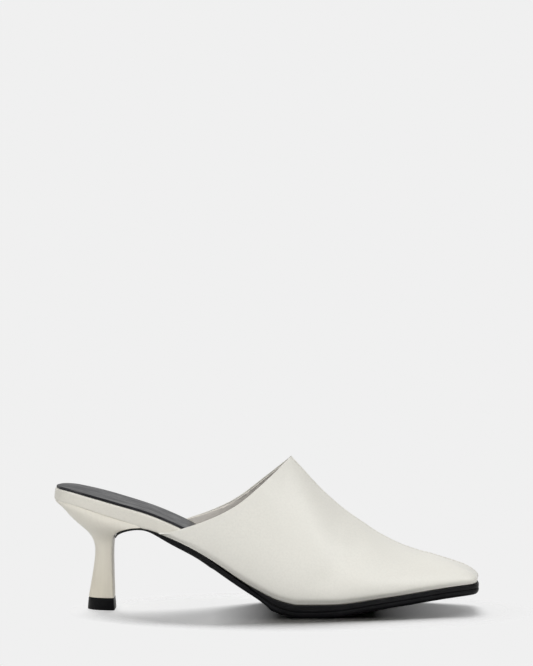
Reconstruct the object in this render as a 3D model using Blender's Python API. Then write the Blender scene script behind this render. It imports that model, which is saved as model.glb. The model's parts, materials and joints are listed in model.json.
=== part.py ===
"""A right mule shoe with a square toe, a peaked throat, a wrapped insole and a covered heel.

Lengths are in metres. X runs from the heel to the toe, Y to the inner side of the foot and Z up.
The origin is on the floor under the middle of the shoe. A place along the shoe is measured
forward from the back of the heel, and a share is a part of a named size.
"""

import math

import bmesh
import bpy

MM = 0.001

# Sizes of the last, the form that the shoe is made on.
LENGTH = 240.5 * MM
BALL_WIDTH = 77.0 * MM
SEAT_WIDTH = 49.0 * MM
SEAT_HEIGHT = 62.8 * MM
SEAT_ROUND = 33.0 * MM
SEAT_SQUARENESS = 2.05
TOE_DEPTH = 18.0 * MM
TOE_SQUARENESS = 5.5
TOE_SHIFT = 2.0 * MM
TOE_SPRING = 10.3 * MM
TREAD_BACK = 137.0 * MM
TREAD_FRONT = 152.0 * MM

# Sizes of the upper.
THROAT_HEIGHT = 86.5 * MM
THROAT_PLACE = 134.1 * MM
WING_PLACE = 60.5 * MM
TOE_FAN_REACH = 33.2 * MM
UPPER_WALL = 1.6 * MM
TUCK = 1.0 * MM
TUCK_HEIGHT = 5.0 * MM

# Sizes of the sole, the insole and the sock.
SOLE_THICKNESS = 3.3 * MM
SOLE_MARGIN = 1.2 * MM
TAIL_THICKNESS = 0.8 * MM
LIP_GAP = 2.0 * MM
SKIVE_START = 51.0 * MM
SKIVE_END = 70.0 * MM
MIDSOLE_THICKNESS = 3.4 * MM
MIDSOLE_LIP = 0.5 * MM
MIDSOLE_PLACE = 112.0 * MM
MIDSOLE_RAMP = 15.0 * MM
MIDSOLE_DIP = 2.0 * MM
RAND_HEIGHT = 7.3 * MM
INSOLE_THICKNESS = 2.8 * MM
RAND_END = 78.0 * MM
INSOLE_START = 112.0 * MM
SOCK_THICKNESS = 0.9 * MM
SOCK_INSET = 0.6 * MM
TOE_GAP = 2.6 * MM

# Sizes of the heel and its lift.
STEM_BACK = 23.4 * MM
BREAST_PLACE = 34.5 * MM
BREAST_CORNER = 1.3 * MM
CORNER_SQUARENESS = 4.0
LIFT_HEIGHT = 6.6 * MM
LIFT_TREAD = 1.0 * MM
LIFT_FLARE = 0.5 * MM

# Space between two pieces that touch on the real shoe.
CLEARANCE = 0.3 * MM

# Fineness of the surfaces.
STATION_STEP = 5.5 * MM
TOE_STEPS = 10
SEAT_STEPS = 7
GIRTH_STEPS = 15
GIRTH_GRADE = 1.2
STEM_STEPS = 9
CORNER_STEPS = 4
SLOPE_STEP = 0.2 * MM

STACK = SOLE_THICKNESS + MIDSOLE_THICKNESS + 2 * CLEARANCE
TIP_MARGIN = 0.25
LAST_LENGTH = LENGTH - TIP_MARGIN * SOLE_MARGIN
TOE_FAN_PLACE = LAST_LENGTH - TOE_FAN_REACH
LAP = UPPER_WALL + CLEARANCE

# Fall of the feather line from the seat to the tread, as a share of the seat's height over it.
# way: share of the way from the heel to the back of the tread.
FALL = (
    # way, rise
    (0.000, 1.000),
    (0.080, 0.974),
    (0.164, 0.915),
    (0.282, 0.822),
    (0.408, 0.726),
    (0.531, 0.598),
    (0.612, 0.494),
    (0.693, 0.373),
    (0.774, 0.240),
    (0.855, 0.126),
    (0.936, 0.036),
    (1.000, 0.000),
)

# Rise of the sole from the tread to the toe tip.
# way: share of the way from the front of the tread to the toe tip; spring: of the toe spring.
SPRING = (
    # way, spring
    (0.000, 0.000),
    (0.105, 0.060),
    (0.230, 0.215),
    (0.356, 0.365),
    (0.485, 0.500),
    (0.611, 0.635),
    (0.740, 0.775),
    (0.868, 0.900),
    (1.000, 1.000),
)

# Thickness of the midsole along the same way, as a share of its thickness under the tread.
MIDSOLE_TAPER = (
    # way, share
    (0.000, 1.000),
    (0.230, 0.740),
    (0.485, 0.680),
    (0.740, 0.680),
    (1.000, 0.640),
)

# Outline of the last's bottom in front of the seat's round end.
# place: share of the last's length; outer and inner: half widths as shares of the ball width;
# margin: how far the sole stands out, as a share of its full margin.
OUTLINE = (
    # place, outer, inner, margin
    (0.160, 0.320, 0.312, 0.00),
    (0.232, 0.334, 0.303, 0.00),
    (0.302, 0.356, 0.304, 0.05),
    (0.395, 0.400, 0.333, 0.25),
    (0.441, 0.430, 0.361, 0.45),
    (0.487, 0.461, 0.394, 0.70),
    (0.533, 0.487, 0.429, 0.90),
    (0.579, 0.499, 0.463, 1.00),
    (0.625, 0.500, 0.488, 1.00),
    (0.670, 0.489, 0.500, 1.00),
    (0.717, 0.467, 0.498, 1.00),
    (0.763, 0.435, 0.483, 0.95),
    (0.810, 0.396, 0.456, 0.85),
    (0.857, 0.353, 0.420, 0.70),
    (0.904, 0.311, 0.378, 0.50),
    (0.951, 0.272, 0.335, 0.35),
    (1.000, 0.238, 0.292, TIP_MARGIN),
)

# Height of the centre front over the feather line, as a share of the throat's height over it.
# way: share of the way from the throat to the toe tip. Rows behind the throat give the cone
# that the open sides belong to.
RIDGE = (
    # way, height
    (-0.700, 0.900),
    (-0.470, 1.110),
    (-0.260, 1.190),
    (-0.160, 1.149),
    (0.000, 1.000),
    (0.054, 0.941),
    (0.160, 0.786),
    (0.267, 0.643),
    (0.373, 0.524),
    (0.480, 0.414),
    (0.587, 0.327),
    (0.694, 0.257),
    (0.800, 0.198),
    (1.000, 0.090),
)

# Height of the collar over the feather line, as a share of the throat's height over it.
# way: share of the way from the wing's tip to the throat.
COLLAR = (
    # way, height
    (0.000, 0.020),
    (0.060, 0.036),
    (0.166, 0.097),
    (0.318, 0.215),
    (0.469, 0.358),
    (0.620, 0.531),
    (0.770, 0.726),
    (0.923, 0.912),
    (1.000, 1.000),
)

# Shape of the upper's sections. place: share of the last's length; crown: how far the section
# keeps its top slope, as a share of its half width; tent: that slope; wall: how far it goes
# straight up from the feather line, as a share of its height; swell: how far it leans out.
SECTIONS = (
    # place, crown, tent, wall, swell
    (0.250, 0.30, 1.05, 0.35, 0.02),
    (0.558, 0.30, 0.95, 0.35, 0.02),
    (0.630, 0.36, 0.64, 0.38, 0.03),
    (0.700, 0.42, 0.42, 0.42, 0.03),
    (0.780, 0.48, 0.28, 0.45, 0.03),
    (0.860, 0.54, 0.16, 0.48, 0.03),
    (1.000, 0.56, 0.16, 0.40, 0.04),
)
TOP_SLOPE_AT_TOE = 0.29

# Height of the rand and sock along the seat, as a share of the rand's height.
# way: share of the way from the heel to the rand's end.
RAND = (
    # way, share
    (0.000, 0.90),
    (0.180, 0.91),
    (0.400, 1.03),
    (0.600, 1.07),
    (1.000, 1.07),
)

# Sections of the heel from its foot to the seat. back_height and front_height: shares of the
# height from the lift to the seat's back; back: share of the stem's place; breast: share of the
# breast's place; width: share of the seat's width; seat: how much the section takes the seat's
# outline. The last row is the lower edge of the seat's rim.
HEEL = (
    # back_height, front_height, back, breast, width, seat
    (0.000, 0.000, 0.855, 1.014, 0.367, 0.0),
    (0.268, 0.268, 0.949, 1.000, 0.351, 0.0),
    (0.434, 0.434, 0.996, 0.997, 0.359, 0.0),
    (0.514, 0.514, 0.996, 1.000, 0.376, 0.0),
    (0.585, 0.570, 0.953, 1.006, 0.416, 0.0),
    (0.662, 0.617, 0.844, 1.014, 0.506, 0.1),
    (0.746, 0.655, 0.598, 1.041, 0.637, 0.3),
    (0.826, 0.692, 0.387, 1.093, 0.776, 0.6),
    (0.904, 0.722, 0.242, 1.200, 0.890, 0.9),
    (0.955, 0.740, 0.100, 1.340, 0.963, 1.0),
    (0.980, 0.743, 0.025, 1.463, 1.000, 1.0),
)
TAIL_ROW = 5

# Edge profiles. inset and depth are shares of the piece's thickness, from its top down.
SOLE_EDGE = ((0.10, 0.00), (0.00, 0.12), (0.00, 0.60), (0.32, 1.00))
MIDSOLE_EDGE_PROFILE = ((0.12, 0.00), (0.00, 0.15), (0.00, 0.88), (0.08, 1.00))
RAND_EDGE = ((0.16, 0.00), (0.05, 0.05), (0.00, 0.16), (0.00, 0.92), (0.05, 1.00))
SOCK_EDGE = ((0.45, 0.00), (0.10, 0.30), (0.00, 0.70), (0.00, 1.00))


def read(table, place, column=1):
    """Reads a column of a table at a place, on a smooth curve that never overshoots its rows."""
    places = [row[0] for row in table]
    values = [row[column] for row in table]
    if place <= places[0]:
        return values[0]
    if place >= places[-1]:
        return values[-1]
    row = max(i for i in range(len(places) - 1) if places[i] <= place)
    slopes = [
        (values[i + 1] - values[i]) / (places[i + 1] - places[i]) for i in range(len(places) - 1)
    ]

    def tangent(i):
        if i == 0:
            return slopes[0]
        if i == len(places) - 1:
            return slopes[-1]
        before, after = slopes[i - 1], slopes[i]
        if before * after <= 0:
            return 0.0
        return 2 * before * after / (before + after)

    width = places[row + 1] - places[row]
    s = (place - places[row]) / width
    start, end = values[row], values[row + 1]
    return (
        (1 + 2 * s) * (1 - s) ** 2 * start
        + s * (1 - s) ** 2 * width * tangent(row)
        + s * s * (3 - 2 * s) * end
        - s * s * (1 - s) * width * tangent(row + 1)
    )


def ease(low, high, value):
    """Goes smoothly from 0 at low to 1 at high."""
    s = min(1.0, max(0.0, (value - low) / (high - low)))
    return s * s * (3 - 2 * s)


def blend(a, b, share):
    return a + (b - a) * share


def arc(angle, power):
    """Gives a point on the quarter of a rounded box, from (0, 1) at angle 0 to (1, 0)."""
    return math.sin(angle) ** (2 / power), max(0.0, math.cos(angle)) ** (2 / power)


def full_midsole(x):
    """Gives the midsole's thickness, which tapers from the tread to the toe."""
    way = (x - TREAD_FRONT) / (LAST_LENGTH - TREAD_FRONT)
    return MIDSOLE_THICKNESS * read(MIDSOLE_TAPER, way)


def midsole_thickness(x):
    """Gives the midsole's thickness with its thin rear edge, which rises to the full layer."""
    ramp = ease(MIDSOLE_PLACE, MIDSOLE_PLACE + MIDSOLE_RAMP, x)
    return blend(MIDSOLE_LIP, full_midsole(x), ramp)


def feather_height(x):
    """Gives the height of the feather line, where the upper and the rand meet the sole."""
    if x < TREAD_BACK:
        return STACK + (SEAT_HEIGHT - STACK) * read(FALL, x / TREAD_BACK)
    way = (x - TREAD_FRONT) / (LAST_LENGTH - TREAD_FRONT)
    stack = SOLE_THICKNESS + full_midsole(x) + 2 * CLEARANCE
    return stack + TOE_SPRING * read(SPRING, way)


def half_width(x, side):
    """Gives the last's half width at a place; side is -1 for the outer side and 1 for the inner."""
    column = 1 if side < 0 else 2
    width = BALL_WIDTH * read(OUTLINE, x / LAST_LENGTH, column)
    seat_share = 1 - ease(SEAT_ROUND, WING_PLACE, x)
    return blend(width, SEAT_WIDTH / 2, seat_share)


def margin(x):
    """Gives how far the sole's edge stands out from the feather line."""
    return SOLE_MARGIN * read(OUTLINE, x / LAST_LENGTH, 3)


def stations():
    """Lists the places of the sections between the seat's round end and the toe's fan."""
    marks = {WING_PLACE, MIDSOLE_PLACE, THROAT_PLACE, TREAD_BACK, TREAD_FRONT}
    inside = sorted(mark for mark in marks if SEAT_ROUND < mark < TOE_FAN_PLACE)
    marks = [SEAT_ROUND, *inside, TOE_FAN_PLACE]
    places = [marks[0]]
    for start, end in zip(marks, marks[1:]):
        count = max(1, round((end - start) / STATION_STEP))
        places += [blend(start, end, (i + 1) / count) for i in range(count)]
    return places


def toe_point(step, side):
    """Gives a point of the square toe's outline, from where it starts to turn to the tip."""
    along, across = arc(math.pi / 2 * step / TOE_STEPS, TOE_SQUARENESS)
    x = blend(LAST_LENGTH - TOE_DEPTH, LAST_LENGTH, along)
    return x, side * half_width(x, side) * across


def toe_places():
    """Lists the places between the fan's first section and the start of the round toe."""
    start, end = TOE_FAN_PLACE, LAST_LENGTH - TOE_DEPTH
    count = max(0, math.ceil((end - start) / STATION_STEP))
    return [blend(start, end, (i + 1) / count) for i in range(count)]


def side_rim(side, start):
    """Lists the outline's points along one side, from a place or the heel's back to the toe tip."""
    rim = []
    if start is None:
        for step in range(SEAT_STEPS):
            back, across = arc(math.pi / 2 * (1 - step / SEAT_STEPS), SEAT_SQUARENESS)
            x = SEAT_ROUND * (1 - back)
            rim.append((x, side * half_width(SEAT_ROUND, side) * across, x))
        rim[0] = (0.0, 0.0, rim[1][2])
    for x in stations():
        if start is None or x >= start - 1e-9:
            rim.append((x, side * half_width(x, side), x))
    for x in toe_places():
        rim.append((x, side * half_width(x, side), TOE_FAN_PLACE))
    for step in range(1, TOE_STEPS + 1):
        x, y = toe_point(step, side)
        rim.append((x, y, TOE_FAN_PLACE))
    return rim


def outline(start=None):
    """Lists the outline from the outer side's rear round the toe to the inner side's rear.

    Each row holds x, y, the place on the centre line that it is joined to, and the direction
    that points outwards.
    """
    outer = side_rim(-1, start)
    inner = side_rim(1, start)[:-1]
    if start is None:
        inner = inner[1:]
    rim = outer + inner[::-1]
    rows = []
    for i, (x, y, spine) in enumerate(rim):
        if start is None:
            before, after = rim[i - 1], rim[(i + 1) % len(rim)]
        else:
            before, after = rim[max(i - 1, 0)], rim[min(i + 1, len(rim) - 1)]
        dx, dy = after[0] - before[0], after[1] - before[1]
        length = math.hypot(dx, dy)
        rows.append((x, y, spine, dy / length, -dx / length))
    return rows


def material(name, colour, roughness, metallic=0.0):
    found = bpy.data.materials.new(name)
    found.use_nodes = True
    shader = found.node_tree.nodes["Principled BSDF"]
    shader.inputs["Base Color"].default_value = (*colour, 1.0)
    shader.inputs["Roughness"].default_value = roughness
    shader.inputs["Metallic"].default_value = metallic
    return found


def add_object(name, mesh_data, finish):
    """Makes an object of a bmesh, with its origin moved from the heel's back to the middle."""
    for vertex in mesh_data.verts:
        vertex.co.x -= LENGTH / 2
    mesh = bpy.data.meshes.new(name)
    mesh_data.to_mesh(mesh)
    mesh_data.free()
    mesh.shade_smooth()
    mesh.set_sharp_from_angle(angle=math.radians(35))
    mesh.materials.append(finish)
    item = bpy.data.objects.new(name, mesh)
    bpy.context.collection.objects.link(item)
    return item


def add_slab(name, rim, spines, layer, edge, finish, closed):
    """Makes a layer of the shoe's bottom.

    rim lists x, y, spine, out_x and out_y round the piece; spines lists the places of the
    centre line; layer(x) gives x and z of the top, the direction of the thickness and the
    thickness; edge lists inset and depth from the top down; closed says that the rim runs
    round the heel too.
    """
    work = bmesh.new()
    rings = []
    for inset, depth in edge:
        ring = []
        for x, y, spine, out_x, out_y in rim:
            top_x, top_z, down_x, down_z, thick = layer(x)
            ring.append(
                work.verts.new(
                    (
                        top_x + down_x * thick * depth - out_x * inset * thick,
                        y - out_y * inset * thick,
                        top_z + down_z * thick * depth,
                    )
                )
            )
        rings.append(ring)
    middle = {}
    for place in spines:
        top_x, top_z, down_x, down_z, thick = layer(place)
        for level in (0, 1):
            depth = edge[-level][1]
            x = top_x + down_x * thick * depth
            middle[place, level] = work.verts.new((x, 0.0, top_z + down_z * thick * depth))
    count = len(rim)
    pairs = [(i, (i + 1) % count) for i in range(count if closed else count - 1)]
    for upper_ring, lower_ring in zip(rings, rings[1:]):
        for i, j in pairs:
            work.faces.new((upper_ring[i], lower_ring[i], lower_ring[j], upper_ring[j]))
    for level, ring in ((0, rings[0]), (1, rings[-1])):
        for i, j in pairs:
            corners = [ring[i], ring[j], middle[rim[j][2], level]]
            if rim[i][2] != rim[j][2]:
                corners.append(middle[rim[i][2], level])
            work.faces.new(corners if level == 0 else corners[::-1])
    if not closed:
        rear = rim[0][2]
        end = [middle[rear, 0]] + [ring[0] for ring in rings]
        end += [middle[rear, 1]] + [ring[-1] for ring in reversed(rings)]
        work.faces.new(end)
    bmesh.ops.recalc_face_normals(work, faces=work.faces)
    return add_object(name, work, finish)


def moved(rim, distance):
    """Moves an outline outwards by a distance that depends on its place."""
    rows = []
    for x, y, spine, out_x, out_y in rim:
        d = distance(x)
        rows.append((x + out_x * d, y + out_y * d, spine, out_x, out_y))
    return rows


def spines_of(rim):
    return sorted({row[2] for row in rim})


def upright(thickness, x):
    """Gives the upright measure of a thickness that is square to the feather line."""
    rise = feather_height(x + SLOPE_STEP) - feather_height(x - SLOPE_STEP)
    slope = rise / (2 * SLOPE_STEP)
    return thickness * math.hypot(1, slope)


def rand_inset(x):
    """Gives how far the insole stands back from the last's outline, so that the upper laps it."""
    return LAP * ease(SEAT_ROUND, WING_PLACE, x) + TOE_GAP * ease(TOE_FAN_PLACE, LENGTH, x)


def insole_height(x):
    """Gives the insole's height over the feather line."""
    rand = RAND_HEIGHT * read(RAND, x / RAND_END)
    return blend(rand, INSOLE_THICKNESS, ease(RAND_END, INSOLE_START, x))


def add_insole(finish):
    rim = moved(outline(), lambda x: -rand_inset(x))

    def layer(x):
        return x, feather_height(x) + insole_height(x), 0.0, -1.0, insole_height(x)

    return add_slab("insole", rim, spines_of(rim), layer, RAND_EDGE, finish, True)


def add_sock(finish):
    rim = moved(outline(), lambda x: -rand_inset(x) - SOCK_INSET)

    def layer(x):
        lower = feather_height(x) + insole_height(x) + CLEARANCE
        return x, lower + SOCK_THICKNESS, 0.0, -1.0, SOCK_THICKNESS

    return add_slab("sock", rim, spines_of(rim), layer, SOCK_EDGE, finish, True)


def add_midsole(finish):
    rim = moved(outline(MIDSOLE_PLACE), margin)

    def layer(x):
        return x, feather_height(x) - CLEARANCE, 0.0, -1.0, upright(midsole_thickness(x), x)

    edge = MIDSOLE_EDGE_PROFILE
    return add_slab("midsole", rim, spines_of(rim), layer, edge, finish, False)


def heel_rows():
    """Works out the heel's sections: heights, places and widths in metres."""
    foot = LIFT_HEIGHT + CLEARANCE
    rise = SEAT_HEIGHT - CLEARANCE - foot
    rows = []
    for back_height, front_height, back, breast, width, seat in HEEL:
        rows.append(
            (
                foot + rise * back_height,
                foot + rise * front_height,
                STEM_BACK * back,
                BREAST_PLACE * breast,
                SEAT_WIDTH / 2 * width,
                seat,
            )
        )
    return rows


def heel_ring(row, is_seat):
    """Lists a section of the heel as pairs of an outer and an inner point, from front to back."""
    back_z, front_z, back, breast, width, seat = row
    shoulder = breast - BREAST_CORNER
    pairs = []
    for step in range(1, CORNER_STEPS):
        forward, across = arc(math.pi / 2 * (1 - step / CORNER_STEPS), CORNER_SQUARENESS)
        pairs.append((blend(shoulder, breast, forward), across))
    for step in range(STEM_STEPS):
        rearward, across = arc(math.pi / 2 * step / STEM_STEPS, SEAT_SQUARENESS)
        pairs.append((blend(shoulder, back, rearward), across))
    ring = []
    for x, across in pairs:
        z = blend(front_z, back_z, (breast - x) / (breast - back))
        if is_seat:
            z = feather_height(x) - CLEARANCE
        sides = []
        for side in (-1, 1):
            seat_y = seat_half_width(seat_place(x, back), side)
            sides.append((x, side * blend(width * across, seat_y, seat), z))
        ring.append(sides)
    tip_z = feather_height(back) - CLEARANCE if is_seat else back_z
    return ring, (back, 0.0, tip_z)


def seat_place(x, back):
    """Gives the seat's place for a section of the heel whose own back is further forward."""
    if x >= SEAT_ROUND:
        return x
    return SEAT_ROUND * (x - back) / (SEAT_ROUND - back)


def seat_half_width(x, side):
    """Gives the half width of the seat, round at the heel's back, where the rand rests on it."""
    if x < SEAT_ROUND:
        reach = max(0.0, 1 - x / SEAT_ROUND)
        round_share = max(0.0, 1 - reach**SEAT_SQUARENESS) ** (1 / SEAT_SQUARENESS)
        return half_width(SEAT_ROUND, side) * round_share
    return half_width(x, side) - rand_inset(x)


def add_heel(finish):
    work = bmesh.new()
    rows = heel_rows()
    loops = []
    for row, is_seat in [(row, False) for row in rows] + [(rows[-1], True)]:
        ring, tip = heel_ring(row, is_seat)
        outer = [work.verts.new(sides[0]) for sides in ring]
        inner = [work.verts.new(sides[1]) for sides in ring]
        loops.append(outer + [work.verts.new(tip)] + inner[::-1])
    count = len(loops[0])
    for lower, upper in zip(loops, loops[1:]):
        for i in range(count):
            j = (i + 1) % count
            work.faces.new((lower[i], lower[j], upper[j], upper[i]))
    for loop in (loops[0], loops[-1]):
        half = count // 2
        for i in range(half):
            corners = [loop[i], loop[i + 1], loop[count - 2 - i], loop[count - 1 - i]]
            if i == half - 1:
                del corners[2]
            work.faces.new(corners)
    bmesh.ops.recalc_face_normals(work, faces=work.faces)
    return add_object("heel", work, finish)


def add_lift(finish):
    """Makes the lift under the heel, which spreads a little towards the floor."""
    work = bmesh.new()
    row = heel_rows()[0]
    loops = []
    for height, flare in ((LIFT_HEIGHT, 0.0), (LIFT_TREAD, LIFT_FLARE), (0.0, LIFT_FLARE)):
        grown = (height, height, row[2] - flare, row[3] + flare, row[4] + flare, 0.0)
        ring, tip = heel_ring(grown, False)
        outer = [work.verts.new(sides[0]) for sides in ring]
        inner = [work.verts.new(sides[1]) for sides in ring]
        loops.append(outer + [work.verts.new(tip)] + inner[::-1])
    count = len(loops[0])
    for lower, upper in zip(loops, loops[1:]):
        for i in range(count):
            j = (i + 1) % count
            work.faces.new((lower[i], lower[j], upper[j], upper[i]))
    for loop in (loops[0], loops[-1]):
        work.faces.new(loop)
    bmesh.ops.recalc_face_normals(work, faces=work.faces)
    return add_object("heel_lift", work, finish)


def add_outsole(finish):
    """Makes the outsole, from its thin tail on the heel's breast to the toe."""

    def top(x):
        under = upright(midsole_thickness(x), x) + CLEARANCE
        dip = ease(MIDSOLE_PLACE - MIDSOLE_DIP, MIDSOLE_PLACE, x)
        return feather_height(x) - CLEARANCE - under * dip

    def thickness(x):
        skived = blend(TAIL_THICKNESS, SOLE_THICKNESS, ease(SKIVE_START, SKIVE_END, x))
        return upright(skived, x)

    rows = heel_rows()[TAIL_ROW:]
    path = [(row[3], row[1]) for row in rows]
    start = next(x for x in stations() if x > path[-1][0] + LIP_GAP)
    path.append((start, top(start)))
    tail = []
    for i, row in enumerate(rows):
        before, after = path[max(i - 1, 0)], path[i + 1]
        run, climb = after[0] - before[0], after[1] - before[1]
        size = math.hypot(run, climb)
        down_x, down_z = climb / size, -run / size
        x = row[3] + down_x * CLEARANCE
        z = row[1] + down_z * CLEARANCE
        tail.append((x, z, down_x, down_z, row[4], row[5]))

    # A place behind the heel's back stands for a section of the tail, counted from its tip.
    sections = {}
    outer, inner = [], []
    for i, (x, z, down_x, down_z, width, seat) in enumerate(tail):
        place = -LENGTH * (len(tail) - i)
        sections[place] = (x, z, down_x, down_z, TAIL_THICKNESS)
        for side, rim in ((-1, outer), (1, inner)):
            y = side * blend(width, seat_half_width(x, side), seat)
            rim.append((place, y, place, 0.0, float(side)))

    def layer(x):
        return sections[x] if x in sections else (x, top(x), 0.0, -1.0, thickness(x))

    rim = outer + moved(outline(start), margin) + inner[::-1]
    return add_slab("outsole", rim, spines_of(rim), layer, SOLE_EDGE, finish, False)


def section_point(foot, top, out, shape, t):
    """Gives a point of an upper's section, a curve from the feather line to the ridge."""
    crown, slope, wall, swell = shape
    reach = math.hypot(foot[0] - top[0], foot[1] - top[1])
    rise = top[2] - foot[2]
    near_foot = (
        foot[0] + out[0] * swell * reach,
        foot[1] + out[1] * swell * reach,
        foot[2] + wall * rise,
    )
    near_top = (
        top[0] + out[0] * crown * reach,
        top[1] + out[1] * crown * reach,
        top[2] - crown * reach * slope,
    )
    s = 1 - t
    return tuple(
        s**3 * foot[i] + 3 * s * s * t * near_foot[i] + 3 * s * t * t * near_top[i] + t**3 * top[i]
        for i in range(3)
    )


def section(x, y, spine, side):
    """Lists the points of one side's section, from the feather line to the collar or ridge."""
    instep = THROAT_HEIGHT - feather_height(THROAT_PLACE)
    way = (spine - THROAT_PLACE) / (LAST_LENGTH - THROAT_PLACE)
    ridge = feather_height(spine) + instep * read(RIDGE, way)
    shift = TOE_SHIFT * ease(THROAT_PLACE, TOE_FAN_PLACE, spine)
    top = (spine, shift, ridge)
    tuck = TUCK * read(OUTLINE, x / LAST_LENGTH, 3)
    ahead, across = x - spine, y - shift
    size = math.hypot(ahead, across)
    out = (ahead / size, across / size)
    foot = (x + out[0] * tuck, y + out[1] * tuck, feather_height(x))
    share = x / LAST_LENGTH
    slope = abs(out[1]) * read(SECTIONS, share, 2) + abs(out[0]) * TOP_SLOPE_AT_TOE
    shape = (read(SECTIONS, share, 1), slope, read(SECTIONS, share, 3), read(SECTIONS, share, 4))
    end = 1.0
    if spine < THROAT_PLACE - 1e-9:
        way = (x - WING_PLACE) / (THROAT_PLACE - WING_PLACE)
        collar = feather_height(x) + instep * read(COLLAR, way)
        low, end = 0.0, 1.0
        for _ in range(40):
            middle = (low + end) / 2
            if section_point(foot, top, out, shape, middle)[2] < collar:
                low = middle
            else:
                end = middle
    points = []
    for step in range(GIRTH_STEPS + 1):
        point = section_point(foot, top, out, shape, end * (step / GIRTH_STEPS) ** GIRTH_GRADE)
        over = max(0.0, 1 - (point[2] - foot[2]) / TUCK_HEIGHT)
        pull = tuck * over * over
        points.append((point[0] - out[0] * pull, point[1] - out[1] * pull, point[2]))
    return points


def add_upper(finish):
    """Makes the upper as one wall, from a sheet through its sections."""
    work = bmesh.new()
    grown = {}

    def corner(point):
        key = tuple(round(value / (0.01 * MM)) for value in point)
        if key not in grown:
            grown[key] = work.verts.new(point)
        return grown[key]

    for side in (-1, 1):
        columns = []
        for x, y, spine in side_rim(side, WING_PLACE):
            columns.append([corner(point) for point in section(x, y, spine, side)])
        for rear, fore in zip(columns, columns[1:]):
            for k in range(GIRTH_STEPS):
                corners = [rear[k], fore[k], fore[k + 1], rear[k + 1]]
                if fore[k + 1] is rear[k + 1]:
                    corners = corners[:3]
                work.faces.new(corners if side < 0 else corners[::-1])
    item = add_object("upper", work, finish)
    wall = item.modifiers.new("wall", "SOLIDIFY")
    wall.thickness = UPPER_WALL
    wall.offset = -1.0
    wall.use_even_offset = True
    wall.use_rim = True
    return item


def clear_scene():
    for item in list(bpy.data.objects):
        bpy.data.objects.remove(item, do_unlink=True)


def main():
    clear_scene()
    white = material("white_leather", (0.74, 0.72, 0.66), 0.38)
    rand_white = material("rand_leather", (0.62, 0.59, 0.53), 0.42)
    heel_white = material("heel_cover_leather", (0.66, 0.62, 0.55), 0.40)
    black_sole = material("black_sole_rubber", (0.012, 0.012, 0.012), 0.45)
    black_layer = material("black_midsole", (0.015, 0.015, 0.015), 0.50)
    black_lift = material("black_lift_rubber", (0.010, 0.010, 0.010), 0.55)
    grey_sock = material("dark_sock_lining", (0.09, 0.09, 0.09), 0.60)
    add_upper(white)
    add_insole(rand_white)
    add_sock(grey_sock)
    add_midsole(black_layer)
    add_outsole(black_sole)
    add_heel(heel_white)
    add_lift(black_lift)


main()
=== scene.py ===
"""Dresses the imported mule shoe: leathers, lining, sock, heel cover, lift, soles and seam.

Lengths are in metres, in the frame's own axes: X runs to the toe, Y to the inner side of the
foot and Z up from the floor.
"""

import json
import math

import bmesh
import bpy
from bpy.props import FloatProperty, FloatVectorProperty, PointerProperty
from bpy.types import Operator, Panel, PropertyGroup
from mathutils import Matrix

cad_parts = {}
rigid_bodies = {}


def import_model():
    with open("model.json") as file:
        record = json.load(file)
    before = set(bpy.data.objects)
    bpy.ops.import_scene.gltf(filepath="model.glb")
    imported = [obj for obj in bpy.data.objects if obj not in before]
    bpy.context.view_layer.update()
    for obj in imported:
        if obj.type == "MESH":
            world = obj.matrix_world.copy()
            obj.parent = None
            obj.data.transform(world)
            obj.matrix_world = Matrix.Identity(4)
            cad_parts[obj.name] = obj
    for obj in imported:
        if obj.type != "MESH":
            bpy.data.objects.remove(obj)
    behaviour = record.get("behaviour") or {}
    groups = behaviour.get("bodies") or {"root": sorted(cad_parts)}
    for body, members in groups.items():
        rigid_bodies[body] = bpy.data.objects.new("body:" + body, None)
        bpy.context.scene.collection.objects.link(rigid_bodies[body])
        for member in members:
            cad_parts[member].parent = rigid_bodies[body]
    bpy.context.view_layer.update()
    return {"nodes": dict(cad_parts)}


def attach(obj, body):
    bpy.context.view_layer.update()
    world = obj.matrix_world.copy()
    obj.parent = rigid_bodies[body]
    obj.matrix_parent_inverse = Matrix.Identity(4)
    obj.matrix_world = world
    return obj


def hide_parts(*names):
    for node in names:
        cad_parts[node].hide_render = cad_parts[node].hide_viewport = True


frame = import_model()

bl_info = {
    "name": "Mule Shoe",
    "version": (1, 0, 0),
    "blender": (4, 5, 0),
    "location": "3D View > Sidebar > Mule Shoe",
    "description": "Models the finish of a square-toed leather mule around its packed solids",
    "category": "Add Mesh",
}

MM = 0.001
MERGE_DISTANCE = 0.01 * MM
SIDES = (-1, 1)

# An edge is sharp where the surface turns by more than this: in a solid, in a sole, in the
# shading, and in the shading of a wall with a cut edge.
SHARP_ANGLE = math.radians(55)
SOLE_ANGLE = math.radians(40)
SHADE_ANGLE = math.radians(38)
CUT_ANGLE = math.radians(50)

# Two triangles become a quad where they turn by no more than the first angle and each corner
# is within the second of a right angle, which lets any shape pass.
QUAD_TURN = math.radians(60)
QUAD_SKEW = math.radians(180)

# What looks down or up has a normal whose Z goes past this.
LEVEL = 0.55


def size(name, value, description):
    """Makes a length that a user can change."""
    return FloatProperty(
        name=name,
        description=description,
        default=value,
        min=0.0,
        max=1.0,
        precision=5,
        subtype="DISTANCE",
        unit="LENGTH",
    )


def colour(name, value, description):
    """Makes a colour that a user can change."""
    return FloatVectorProperty(
        name=name,
        description=description,
        default=value,
        min=0.0,
        max=1.0,
        size=3,
        subtype="COLOR",
    )


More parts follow.
